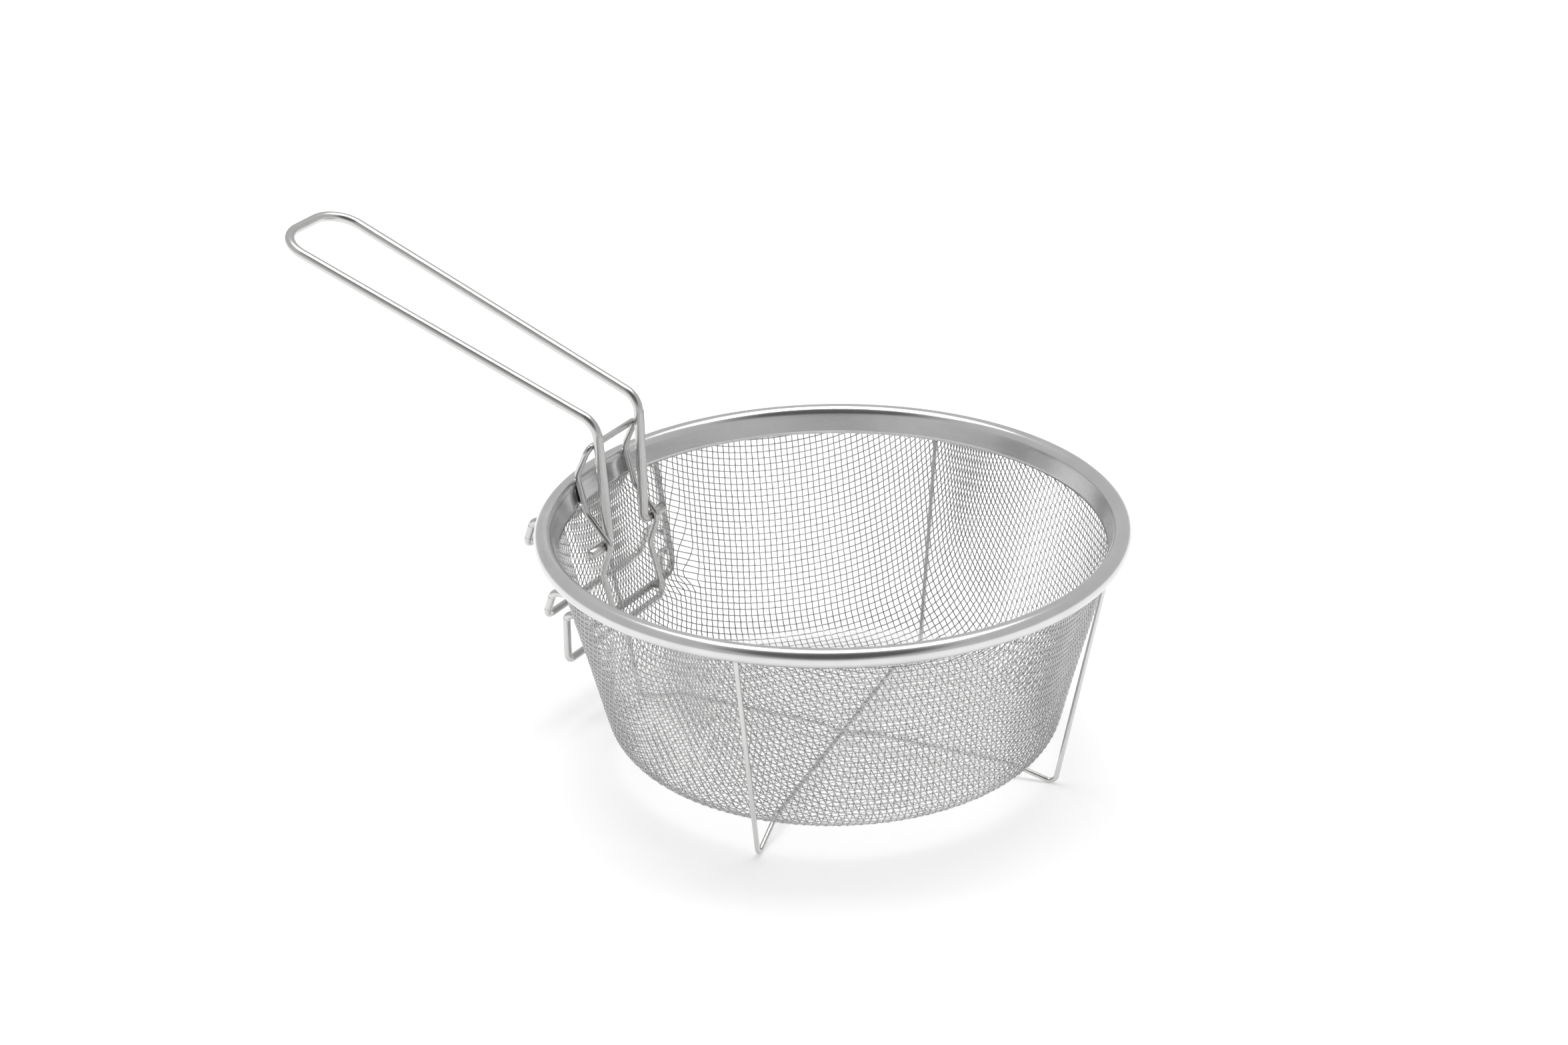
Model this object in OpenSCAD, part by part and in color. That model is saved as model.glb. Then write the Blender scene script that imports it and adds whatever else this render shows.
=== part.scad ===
// Round wire-mesh fry basket with a fold-in wire handle and three pot hooks.
// Millimetres. +Z up, table at z = 0, rim axis on Z, handle towards -Y.

/* [Rim] */
// Outside diameter of the rolled rim
rim_od = 220; // [150:1:320]
// Height of the rolled bead's centre above the table
rim_height = 91.5; // [60:0.5:160]
// Thickness of the rolled bead
bead_d = 7.2; // [5.5:0.1:12]
// Thickness of the rim's sheet metal
rim_sheet = 0.7; // [0.4:0.05:1]
// How far the inner skirt reaches below the bead's centre
skirt_drop = 6.5; // [4.5:0.1:12]
// How far the sheet is rolled round underneath, degrees past the outermost point
roll_under = 125; // [100:1:130]

/* [Mesh bowl] */
// Lean of the wall from vertical, degrees
wall_lean = 14.8; // [5:0.1:22]
// Outer radius of the bend between wall and bottom
knee_r = 16.5; // [8:0.5:25]
// Height of the bowl's underside above the table
bowl_lift = 7; // [6:0.1:20]
// Thickness of the woven mesh, one wire over another
mesh_t = 1; // [0.6:0.05:1.6]

/* [Support wires] */
// Diameter of the two wires that cross under the bowl
support_d = 1.9; // [1.2:0.1:3]
// How much nearer upright than the bowl's wall each leg stands, degrees
leg_steeper = 2.9; // [1:0.1:8]
// Radius of the bend at each foot
foot_bend = 3; // [2:0.1:6]
// Angle at which each wire rises inwards from its foot
foot_rise = 17; // [10:0.5:30]
// Direction of the right foot of wire A
foot_a_right = 12; // [0:1:20]
// Direction of the left foot of wire A
foot_a_left = 188; // [175:1:200]
// Direction of the back foot of wire B
foot_b_back = 100.5; // [80:0.5:110]
// Direction of the front foot of wire B
foot_b_front = 271; // [262:0.5:278]

/* [Handle] */
// Diameter of the handle wire
handle_d = 3.9; // [3:0.1:5]
// Depth of the pivot below the bead's centre
pivot_drop = 22.2; // [18:0.1:40]
// Level distance of the pivot from the mesh's inner face
pivot_inset = 6.1; // [5:0.1:12]
// Half the distance between the pin tips
pin_tip = 25.5; // [20:0.5:35]
// Half the distance between the legs at the pivot
leg_half = 12; // [8:0.5:20]
// Radius of the bend from leg to pin
pin_bend = 3; // [2.8:0.1:5]
// Height of the handle's upper bend above the pivot
leg_rise = 49.3; // [35:0.1:80]
// How far each leg leans outwards over that height
leg_out = 2.2; // [0:0.1:6]
// Half the distance between the arms at their upper bends
arm_half = 14.3; // [10:0.1:24]
// Half the distance between the arms at the end bar
tip_half = 18.6; // [10:0.1:28]
// Horizontal length of the arms
arm_reach = 142.9; // [80:0.1:220]
// Slope of the arms, degrees
arm_slope = 18.9; // [0:0.1:40]
// Radius of the upper bends
arm_bend = 9; // [5:0.5:14]
// Radius of the end bar's corners
tip_bend = 12.5; // [5:0.5:16]

/* [Handle bracket] */
// Diameter of the bracket wire
bracket_d = 2.5; // [1.8:0.1:3.5]
// Height of the stop bar above the bead's centre
stop_rise = 17; // [10:0.5:22]
// Height above the bead's centre at which the sides meet the wall's slope
side_top = 5; // [5:0.5:9]
// Depth below the bead's centre at which the sides leave the wall
side_low = 10; // [8:0.5:14]
// Depth of the neck under the crook, below the bead's centre
neck_drop = 33; // [30:0.5:46]
// Bend radius of the sides below the stop bar
side_bend = 7; // [3:0.5:10]
// Corner radius of the stop bar
stop_bend = 3; // [2:0.1:6]

/* [Hook frame and hooks] */
// Diameter of the frame and hook wire
hook_d = 3; // [2:0.1:4]
// Half the width of the frame and of the hooks
hook_half = 32.5; // [24:0.5:45]
// Depth of the frame's bottom bar below the bead's centre
frame_drop = 52.5; // [45:0.5:70]
// Corner radius of the frame
frame_bend = 6; // [3:0.5:10]
// Depth of the upper hook's weld below the bead's centre
upper_weld = 9; // [8:0.5:14]
// Distance of the upper hook's shoulder from the rim's axis past the rim's radius
upper_out = 1.5; // [0:0.1:6]
// Depth of the middle hook's weld below the bead's centre
middle_weld = 37; // [32:0.5:40]
// How far the middle hook's shoulder stands out from its weld
middle_out = 7.6; // [7:0.1:14]
// How far the bars of the upper and middle hooks lie outside their shoulders
bar_out = 4; // [2:0.1:8]
// How far those bars lie below their shoulders
bar_drop = 11.5; // [10:0.5:16]
// Radius of those hooks' shoulders and corners
hook_bend = 4; // [3:0.5:5]
// Height of the lower hook's weld above the frame's bottom bar
lower_lift = 7.5; // [7.5:0.5:10]
// How far the lower hook's shoulder stands out from its weld
lower_out = 3.3; // [3.2:0.1:8]
// How far the lower hook's bar lies outside its shoulder
lower_bar_out = 0.2; // [0:0.1:4]
// How far the lower hook's bar lies below its shoulder
lower_bar_drop = 20; // [12:0.5:30]
// Radius of the lower hook's shoulders and corners
lower_bend = 3; // [2:0.5:4]

/* [Fits] */
// Gap between pieces that lie together
lay_gap = 0.05; // [0.02:0.01:0.2]
// Radial clearance of the handle's pins in the crooks
pin_clearance = 0.05; // [0.02:0.01:0.1]
// Gap between the handle's legs and the stop bar
stop_gap = 0.2; // [0.1:0.05:0.5]
// Clearance of the bracket wires in the skirt's slots
slot_gap = 0.35; // [0.2:0.05:0.8]
// Depth to which one welded wire sinks into the next
weld_sink = 0.3; // [0.1:0.05:0.5]
// Diameter of each weld through the mesh
nugget_d = 2.2; // [1.5:0.1:2.8]
// Clearance of each weld in its hole in the mesh
nugget_gap = 0.2; // [0.1:0.05:0.5]

/* [Hidden] */
$fn = 120;
wire_fn = 40;
arc_step = 7.5;
lap = 0.2;
swell = 0.04;
band_metal = [0.78, 0.78, 0.8];
wire_metal = [0.7, 0.71, 0.73];
mesh_metal = [0.62, 0.64, 0.66, 0.6];

// Rim cross-section: distances from the bead's centre
bead_r = bead_d / 2;
ring_r = rim_od / 2 - bead_r;
roll_r = bead_r - rim_sheet;
hem_out = roll_r - lay_gap;
hem_in = hem_out - mesh_t;
core_r = hem_in - lay_gap;

// Radius of the wall's inner and outer face at height z
function slope_r(off, z) = ring_r - off / cos(wall_lean) + (z - rim_height) * tan(wall_lean);
function wall_in(z) = slope_r(hem_out, z);
function wall_out(z) = slope_r(hem_in, z);
// Reach of a wire of diameter d against the inner or outer face, at sideways distance x
function reach_in(z, x, d) = sqrt(pow(wall_in(z) - (d / 2 + lay_gap) / cos(wall_lean), 2) - x * x);
function reach_out(z, x, d) = sqrt(pow(wall_out(z) + (d / 2 + lay_gap) / cos(wall_lean), 2) - x * x);
// Height of the bead's underside at radius r
function under_bead(r) = rim_height - sqrt(bead_r * bead_r - pow(r - ring_r, 2));

// Handle
pivot_z = rim_height - pivot_drop;
pivot_reach = wall_in(pivot_z) - pivot_inset;
leg_top = pivot_z + leg_rise;
arm_tip = [pivot_reach + leg_out + arm_reach, leg_top + arm_reach * tan(arm_slope)];

// Bracket: the crook is an arc about the pin, tangent to the wire above and below it
bracket_half = leg_half + pin_bend + bracket_d / 2 + pin_clearance;
stop_z = rim_height + stop_rise;
stop_reach = pivot_reach + leg_out * (stop_z - pivot_z) / leg_rise
    + (handle_d + bracket_d) / 2 + stop_gap;
side_top_z = rim_height + side_top;
side_low_z = rim_height - side_low;
neck_z = rim_height - neck_drop;
foot_z = rim_height - frame_drop;
crook_r = handle_d / 2 + pin_clearance + bracket_d / 2;
crook_in = [reach_in(side_low_z, bracket_half, bracket_d) - pivot_reach, side_low_z - pivot_z];
crook_out = [reach_in(neck_z, bracket_half, bracket_d) - pivot_reach, neck_z - pivot_z];
crook_a = atan2(crook_in.y, crook_in.x) + acos(crook_r / norm(crook_in));
crook_b = 360 + atan2(crook_out.y, crook_out.x) - acos(crook_r / norm(crook_out));
crook_mid = (crook_a + crook_b) / 2;
crook_far = crook_r / cos((crook_b - crook_a) / 2);

// Frame and hooks: the frame is flat, touching the wall at the middle of its bottom bar
bar_reach = reach_out(foot_z, 0, hook_d);
frame_top_z = under_bead(ring_r) - lay_gap;
frame_top = reach_out(frame_top_z, hook_half, hook_d);
function frame_reach(z) =
    bar_reach + (frame_top - bar_reach) * (z - foot_z) / (frame_top_z - foot_z);
upper_z = rim_height - upper_weld;
middle_z = rim_height - middle_weld;
lower_z = foot_z + lower_lift;
nugget_z = foot_z + nugget_d / 3;

// Support wires: each leg lies in an upright plane through the rim's axis
leg_lean = wall_lean - leg_steeper;
support_top = ring_r - support_d / 1.6;
support_top_z = under_bead(support_top) + weld_sink;
run_z = bowl_lift - support_d / 2 - lay_gap;
foot_vertex_z = foot_bend + (support_d + swell) / 2
    - foot_bend * (sin(foot_rise) + cos(leg_lean)) / cos(leg_lean - foot_rise);
foot_reach = support_top - (support_top_z - foot_vertex_z) * tan(leg_lean);
run_reach = foot_reach - (run_z - foot_vertex_z) / tan(foot_rise);
run_bend = 6;
dip_half = 3;
kink_half = 10;
function polar(az, r, z) = [r * cos(az), r * sin(az), z];
function leg(az) = [polar(az, support_top, support_top_z), polar(az, foot_reach, foot_vertex_z),
                    polar(az, run_reach, run_z)];
function back(v) = [for (i = [len(v) - 1 : -1 : 0]) v[i]];
function meet(a, b, c, d) = let (u = b - a, v = d - c, w = c - a)
    a + u * (w.x * v.y - w.y * v.x) / (u.x * v.y - u.y * v.x);
crossing = meet(polar(foot_a_right, run_reach, run_z), polar(foot_a_left, run_reach, run_z),
                polar(foot_b_back, run_reach, run_z), polar(foot_b_front, run_reach, run_z));
along_b = unit(polar(foot_b_front, run_reach, run_z) - polar(foot_b_back, run_reach, run_z));
dip = [0, 0, support_d - weld_sink];

// Bent wire: straight lengths between p, bent to the radii r at its corners. The straight
// lengths run on by lap into the bends, which are thicker by swell, so that they join.
function unit(v) = v / norm(v);
function turn(p, i) = acos(min(1, max(-1, unit(p[i] - p[i - 1]) * unit(p[i + 1] - p[i]))));
function tan_len(p, r, i) = (i <= 0 || i >= len(p) - 1) ? 0 : r[i] * tan(turn(p, i) / 2);
function arc(c, r, a, b) = let (n = ceil(abs(b - a) / arc_step))
    [for (i = [0 : n]) c + r * [cos(a + (b - a) * i / n), sin(a + (b - a) * i / n)]];

module frame_z(o, z, x) {
    zz = unit(z);
    xx = unit(x - (x * zz) * zz);
    yy = cross(zz, xx);
    multmatrix([[xx.x, yy.x, zz.x, o.x], [xx.y, yy.y, zz.y, o.y], [xx.z, yy.z, zz.z, o.z],
                [0, 0, 0, 1]]) children();
}

module wire(p, r, d) {
    n = len(p);
    for (i = [0 : n - 2]) {
        u = unit(p[i + 1] - p[i]);
        a = p[i] + u * (tan_len(p, r, i) - (i == 0 ? 0 : lap));
        b = p[i + 1] - u * (tan_len(p, r, i + 1) - (i == n - 2 ? 0 : lap));
        side = abs(u.z) < 0.9 ? [0, 0, 1] : [1, 0, 0];
        frame_z(a, u, side) cylinder(d = d, h = norm(b - a), $fn = wire_fn);
    }
    for (i = [1 : n - 2]) {
        u = unit(p[i] - p[i - 1]);
        v = unit(p[i + 1] - p[i]);
        nn = unit(v - (u * v) * u);
        c = p[i] - u * tan_len(p, r, i) + nn * r[i];
        frame_z(c, cross(-nn, u), -nn)
            rotate_extrude(angle = turn(p, i))
                translate([r[i], 0]) circle(d = d + swell, $fn = wire_fn);
    }
}

// Points of one side of a wire in the plane x = s * half, given as [reach, height] pairs
function side(s, half, v) = [for (q = v) [s * half, -q.x, q.y]];

module handle() {
    half = [[-pin_tip, -leg_half, -arm_half, -tip_half], [tip_half, arm_half, leg_half, pin_tip]];
    reach = [pivot_reach, pivot_reach, pivot_reach + leg_out, arm_tip.x];
    level = [pivot_z, pivot_z, leg_top, arm_tip.y];
    left = [for (i = [0 : 3]) [half[0][i], -reach[i], level[i]]];
    right = [for (i = [0 : 3]) [half[1][i], -reach[3 - i], level[3 - i]]];
    color(wire_metal)
        wire(concat(left, right), [0, pin_bend, arm_bend, tip_bend, tip_bend, arm_bend, pin_bend, 0],
             handle_d);
}

module rim_band() {
    tangent = 180 - wall_lean;
    c = [ring_r, rim_height];
    low = rim_height - skirt_drop;
    color(band_metal)
    difference() {
        rotate_extrude()
            polygon(concat([[slope_r(roll_r, low), low], [slope_r(bead_r, low), low]],
                           arc(c, bead_r, tangent, -roll_under),
                           arc(c, roll_r, -roll_under, tangent)));
        for (s = [-1, 1]) bracket_line(s, bracket_d + 2 * slot_gap);
    }
}

// The straight length of a bracket side that lies along the wall, or the slot cut for it
module bracket_line(s, d) {
    a = [s * bracket_half, -reach_in(side_low_z, bracket_half, bracket_d), side_low_z];
    b = [s * bracket_half, -reach_in(side_top_z, bracket_half, bracket_d), side_top_z];
    frame_z(a, b - a, [1, 0, 0]) cylinder(d = d, h = norm(b - a), $fn = wire_fn);
}

module rim_core_wire() {
    color(wire_metal)
        rotate_extrude() translate([ring_r, rim_height]) circle(r = core_r, $fn = wire_fn);
}

module mesh_bowl() {
    tangent = 180 - wall_lean;
    c = [ring_r, rim_height];
    knee = [wall_out(bowl_lift) - knee_r * tan(45 - wall_lean / 2), bowl_lift + knee_r];
    color(mesh_metal)
    difference() {
        rotate_extrude()
            polygon(concat([[0, bowl_lift]], arc(knee, knee_r, -90, -wall_lean),
                           arc(c, hem_in, tangent, -60), arc(c, hem_out, -60, tangent),
                           arc(knee, knee_r - mesh_t, -wall_lean, -90), [[0, bowl_lift + mesh_t]]));
        for (s = [-1, 1]) nugget(s, nugget_d + 2 * nugget_gap, 3);
    }
}

// One weld through the mesh, from the bracket's foot to the frame's bottom bar
module nugget(s, d, more) {
    a = reach_in(nugget_z, bracket_half, bracket_d) - more;
    b = bar_reach + more;
    translate([s * bracket_half, -a, nugget_z]) rotate([90, 0, 0])
        cylinder(d = d, h = b - a, $fn = wire_fn);
}

module bracket_welds() {
    color(wire_metal) for (s = [-1, 1]) nugget(s, nugget_d, 0);
}

module handle_bracket() {
    crook = [pivot_reach, pivot_z] + crook_far * [cos(crook_mid), sin(crook_mid)];
    v = [[reach_in(foot_z, bracket_half, bracket_d), foot_z],
         [reach_in(neck_z, bracket_half, bracket_d), neck_z],
         crook,
         [reach_in(side_low_z, bracket_half, bracket_d), side_low_z],
         [reach_in(side_top_z, bracket_half, bracket_d), side_top_z],
         [stop_reach, stop_z]];
    r = [0, 5, crook_r, 5, side_bend, stop_bend];
    color(wire_metal)
        wire(concat(side(-1, bracket_half, v), back(side(1, bracket_half, v))),
             concat(r, back(r)), bracket_d);
}

module hook_frame() {
    v = [[frame_top, frame_top_z], [bar_reach, foot_z]];
    color(wire_metal)
        wire(concat(side(-1, hook_half, v), back(side(1, hook_half, v))),
             [0, frame_bend, frame_bend, 0], hook_d);
}

// One hook: out from its welds on the frame's sides to a shoulder, then down to a level bar
module pot_hook(weld_z, shoulder, out, drop, bend) {
    start = frame_reach(weld_z) + hook_d / 2 - weld_sink;
    v = [[start, weld_z], [shoulder, weld_z], [shoulder + out, weld_z - drop]];
    color(wire_metal)
        wire(concat(side(-1, hook_half, v), back(side(1, hook_half, v))),
             [0, bend, bend, bend, bend, 0], hook_d);
}

module upper_pot_hook() pot_hook(upper_z, rim_od / 2 + upper_out, bar_out, bar_drop, hook_bend);

module middle_pot_hook()
    pot_hook(middle_z, frame_reach(middle_z) + middle_out + hook_d / 2, bar_out, bar_drop, hook_bend);

module lower_pot_hook()
    pot_hook(lower_z, frame_reach(lower_z) + lower_out + hook_d / 2, lower_bar_out, lower_bar_drop,
             lower_bend);

module support_wire_a() {
    color(wire_metal)
        wire(concat(leg(foot_a_right), back(leg(foot_a_left))),
             [0, foot_bend, run_bend, run_bend, foot_bend, 0], support_d);
}

module support_wire_b() {
    kinks = [crossing - kink_half * along_b, crossing - dip_half * along_b - dip,
             crossing + dip_half * along_b - dip, crossing + kink_half * along_b];
    color(wire_metal)
        wire(concat(leg(foot_b_back), kinks, back(leg(foot_b_front))),
             [0, foot_bend, run_bend, 4, 4, 4, 4, run_bend, foot_bend, 0], support_d);
}

handle();
rim_band();
rim_core_wire();
mesh_bowl();
handle_bracket();
bracket_welds();
hook_frame();
upper_pot_hook();
middle_pot_hook();
lower_pot_hook();
support_wire_a();
support_wire_b();
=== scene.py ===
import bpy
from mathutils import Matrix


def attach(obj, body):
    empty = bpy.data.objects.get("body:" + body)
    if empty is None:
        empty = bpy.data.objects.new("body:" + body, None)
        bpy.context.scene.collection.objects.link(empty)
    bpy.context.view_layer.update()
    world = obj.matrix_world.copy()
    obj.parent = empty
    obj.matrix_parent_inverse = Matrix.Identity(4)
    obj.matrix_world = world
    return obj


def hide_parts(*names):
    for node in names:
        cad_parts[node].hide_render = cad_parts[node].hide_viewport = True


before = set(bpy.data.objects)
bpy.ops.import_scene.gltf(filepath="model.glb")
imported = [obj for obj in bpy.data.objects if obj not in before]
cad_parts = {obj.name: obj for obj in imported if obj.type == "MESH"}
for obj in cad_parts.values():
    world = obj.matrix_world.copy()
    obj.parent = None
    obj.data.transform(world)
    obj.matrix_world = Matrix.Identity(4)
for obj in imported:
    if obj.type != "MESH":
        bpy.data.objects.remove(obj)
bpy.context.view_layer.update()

"""Looks of the fry basket: woven steel mesh, rolled rim, bent wires, finishes, floor and light.

Lengths are millimetres until a mesh is written, which is in metres. The rim's axis is Z, the table is
z = 0, and the handle points along -Y. A reach is a distance from the rim's axis along -Y.
"""

import logging
import math
from dataclasses import dataclass
from enum import Enum

import bpy
import numpy as np
from mathutils import Matrix, Vector

log = logging.getLogger("fry_basket")
MM = 0.001
LENGTH_UV = "length"
Point = tuple[float, float, float]
Pair = tuple[float, float]


class Body(Enum):
    """The two bodies that pieces ride on."""

    BASKET = "basket"
    HANDLE = "handle"


class Slot(Enum):
    """The record's material slots."""

    RIM = "rim_steel"
    MESH = "mesh_steel"
    WIRE = "wire_steel"


# --------------------------------------------------------------------------- helpers


def smooth(x: np.ndarray) -> np.ndarray:
    """Smooth step: 0 below 0, 1 above 1, and 3x^2 - 2x^3 between.

    Args:
        x: Values to ease.

    Returns:
        The eased values, between 0 and 1.
    """
    x = np.clip(x, 0.0, 1.0)
    return x * x * (3.0 - 2.0 * x)


def unit(v: np.ndarray) -> np.ndarray:
    """Vectors along the last axis, divided by their lengths."""
    return v / np.maximum(np.linalg.norm(v, axis=-1, keepdims=True), 1e-12)


def outward(p: np.ndarray) -> np.ndarray:
    """Level directions from the rim's axis to each position."""
    return unit(p * np.array([1.0, 1.0, 0.0]))


def mirrored(left: list[Point]) -> list[Point]:
    """A line of points on the -X side, carried on back along its mirror image."""
    return left + [(-x, y, z) for x, y, z in reversed(left)]


def both_sides(half: float, side: list[Pair]) -> list[Point]:
    """A line down the side at x = -half and back up the other, from pairs of reach and height."""
    return mirrored([(-half, -reach, z) for reach, z in side])


def write_mesh(name: str, verts: np.ndarray, quads: np.ndarray, uv: np.ndarray,
               caps: list[list[int]] | None = None) -> bpy.types.Object:
    """Makes a smooth-shaded mesh object from whole arrays.

    Args:
        name: The piece's name.
        verts: Corner positions in millimetres, shape (n, 3).
        quads: Indices of the four corners of each face, shape (m, 4).
        uv: UV in millimetres for each face corner, shape (m, 4, 2).
        caps: Extra end faces, as lists of corner indices.

    Returns:
        The linked object, at the origin, with its place in its mesh.
    """
    caps = caps or []
    mesh = bpy.data.meshes.new(name)
    mesh.vertices.add(len(verts))
    mesh.vertices.foreach_set("co", (verts * MM).astype(np.float32).ravel())
    cap_corners = np.array([i for cap in caps for i in cap], dtype=np.int32)
    corners = np.concatenate([quads.astype(np.int32).ravel(), cap_corners])
    sizes = np.array([4] * len(quads) + [len(cap) for cap in caps], dtype=np.int32)
    mesh.loops.add(len(corners))
    mesh.loops.foreach_set("vertex_index", corners)
    mesh.polygons.add(len(sizes))
    starts = np.concatenate([[0], np.cumsum(sizes)[:-1]]).astype(np.int32)
    mesh.polygons.foreach_set("loop_start", starts)
    mesh.polygons.foreach_set("use_smooth", np.ones(len(sizes), dtype=bool))
    layer = mesh.uv_layers.new(name=LENGTH_UV)
    flat = np.zeros((len(corners), 2), dtype=np.float32)
    flat[: len(quads) * 4] = uv.reshape(-1, 2)
    layer.data.foreach_set("uv", flat.ravel())
    mesh.update(calc_edges=True)
    mesh.validate()
    piece = bpy.data.objects.new(name, mesh)
    bpy.context.scene.collection.objects.link(piece)
    return piece


def grid_faces(rows: int, cols: int, wrap_rows: bool, wrap_cols: bool, u: np.ndarray,
               v: np.ndarray) -> tuple[np.ndarray, np.ndarray]:
    """Faces of a grid of rows x cols points, each joined to its next row and column.

    Args:
        rows: Number of rows.
        cols: Number of columns.
        wrap_rows: Whether the last row joins the first.
        wrap_cols: Whether the last column joins the first.
        u: Length coordinate of each row, with one more where rows wrap.
        v: Length coordinate of each column, with one more where columns wrap.

    Returns:
        Corner indices (m, 4) and their UV (m, 4, 2).
    """
    i, j = np.meshgrid(np.arange(rows if wrap_rows else rows - 1),
                       np.arange(cols if wrap_cols else cols - 1), indexing="ij")
    i, j = i.ravel(), j.ravel()
    ii, jj = i + 1, j + 1
    quads = np.stack([i * cols + j, i * cols + jj % cols, ii % rows * cols + jj % cols,
                      ii % rows * cols + j], axis=1)
    uv = np.stack([np.stack([v[j], u[i]], 1), np.stack([v[jj], u[i]], 1),
                   np.stack([v[jj], u[ii]], 1), np.stack([v[j], u[ii]], 1)], axis=1)
    return quads, uv


def settle(piece: bpy.types.Object, body: Body, material: bpy.types.Material,
           node: str) -> None:
    """Dresses a finished piece and sets it in the frame.

    Args:
        piece: The piece.
        body: The body that it rides on.
        material: Its finish.
        node: The CAD node that it stands for.
    """
    piece.data.materials.append(material)
    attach(piece, body.value)
    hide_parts(node)
    log.info("%s: %d faces on %s", piece.name, len(piece.data.polygons), body.value)


def dress_kept_node(node: str, material: bpy.types.Material) -> None:
    """Gives its finish to a CAD node that is shown as it is.

    Args:
        node: The node's name.
        material: The finish.
    """
    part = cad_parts[node]
    part.data.materials.clear()
    part.data.materials.append(material)
    log.info("%s: kept, in %s", node, material.name)


# --------------------------------------------------------------------------- bowl


@dataclass(frozen=True)
class BowlShape:
    """Sizes of the bowl's cross-section, shared by the mesh, the rim and the wires on them.

    The bowl is a flat bottom, a knee that is an arc of a circle, and a straight wall that leans
    outwards and touches the inner side of the rim's bead. The mesh and the band's skirt are lines
    at their own distances past the bead's centre.
    """

    ring_r: float = 106.4
    bead_z: float = 91.5
    bead_r: float = 3.6
    sheet: float = 0.7
    skirt_drop: float = 6.5
    roll_under: float = math.radians(125.0)
    mesh_t: float = 1.0
    lean: float = math.radians(14.8)
    knee_r: float = 16.5
    lift: float = 7.0
    gap: float = 0.05

    def slope_r(self, off: float, z: float) -> float:
        """Radius at height z of the line that leans past the bead's centre at distance off."""
        return self.ring_r - off / math.cos(self.lean) + (z - self.bead_z) * math.tan(self.lean)

    def wall_in(self, z: float) -> float:
        """Radius of the mesh's inner face at height z."""
        return self.slope_r(self.bead_r - self.sheet - self.gap, z)

    def wall_out(self, z: float) -> float:
        """Radius of the mesh's outer face at height z."""
        return self.slope_r(self.bead_r - self.sheet - self.gap - self.mesh_t, z)

    def reach(self, z: float, x: float, wire_d: float, inside: bool) -> float:
        """Reach of the middle of a wire that lies on the wall.

        The wire's radius and the gap are measured square to the wall, so they are divided by the
        cosine of the lean; the reach is the level side of the right triangle with x.

        Args:
            z: Height on the wall.
            x: Sideways distance from the handle's plane.
            wire_d: Diameter of the wire.
            inside: Whether it lies on the wall's inner side.

        Returns:
            The reach.
        """
        off = (wire_d / 2 + self.gap) / math.cos(self.lean)
        r = self.wall_in(z) - off if inside else self.wall_out(z) + off
        return math.sqrt(r * r - x * x)

    def under_bead(self, r: float) -> float:
        """Height of the bead's underside at radius r."""
        return self.bead_z - math.sqrt(self.bead_r ** 2 - (r - self.ring_r) ** 2)

    @property
    def knee(self) -> Pair:
        """Centre of the bend between bottom and wall, as radius and height."""
        r = self.wall_out(self.lift) - self.knee_r * math.tan(math.pi / 4 - self.lean / 2)
        return r, self.lift + self.knee_r

    def length_to(self, z: float) -> float:
        """Length along the middle of the mesh from the bowl's centre up to height z.

        It is the flat bottom's radius, the knee's radius times its angle, and the wall's height
        divided by the cosine of the lean.

        Args:
            z: Height of the point on the wall.

        Returns:
            The length.
        """
        mid = self.knee_r - self.mesh_t / 2
        bend = mid * (math.pi / 2 - self.lean)
        start = self.knee[1] - mid * math.sin(self.lean)
        return self.knee[0] + bend + (z - start) / math.cos(self.lean)

    def surface(self, a: np.ndarray, b: np.ndarray) -> np.ndarray:
        """Points of the mesh's middle surface.

        The distance hypot(a, b) is walked from the bowl's centre in the direction of (a, b): first
        across the flat bottom, then round the knee's circle, then straight up the leaning wall.

        Args:
            a: First coordinate of the walk.
            b: Second coordinate of the walk.

        Returns:
            Positions, with a last axis of three.
        """
        s = np.hypot(a, b)
        knee_x, knee_z = self.knee
        mid = self.knee_r - self.mesh_t / 2
        bend = math.pi / 2 - self.lean
        angle = np.clip((s - knee_x) / mid, 0.0, bend) - math.pi / 2
        rise = np.maximum(s - knee_x - mid * bend, 0.0)
        r = np.where(s < knee_x, s, knee_x + mid * np.cos(angle)) + rise * math.sin(self.lean)
        z = knee_z + mid * np.sin(angle) + rise * math.cos(self.lean)
        way = np.maximum(s, 1e-9)
        return np.stack([r * a / way, r * b / way, z], axis=-1)


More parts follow.
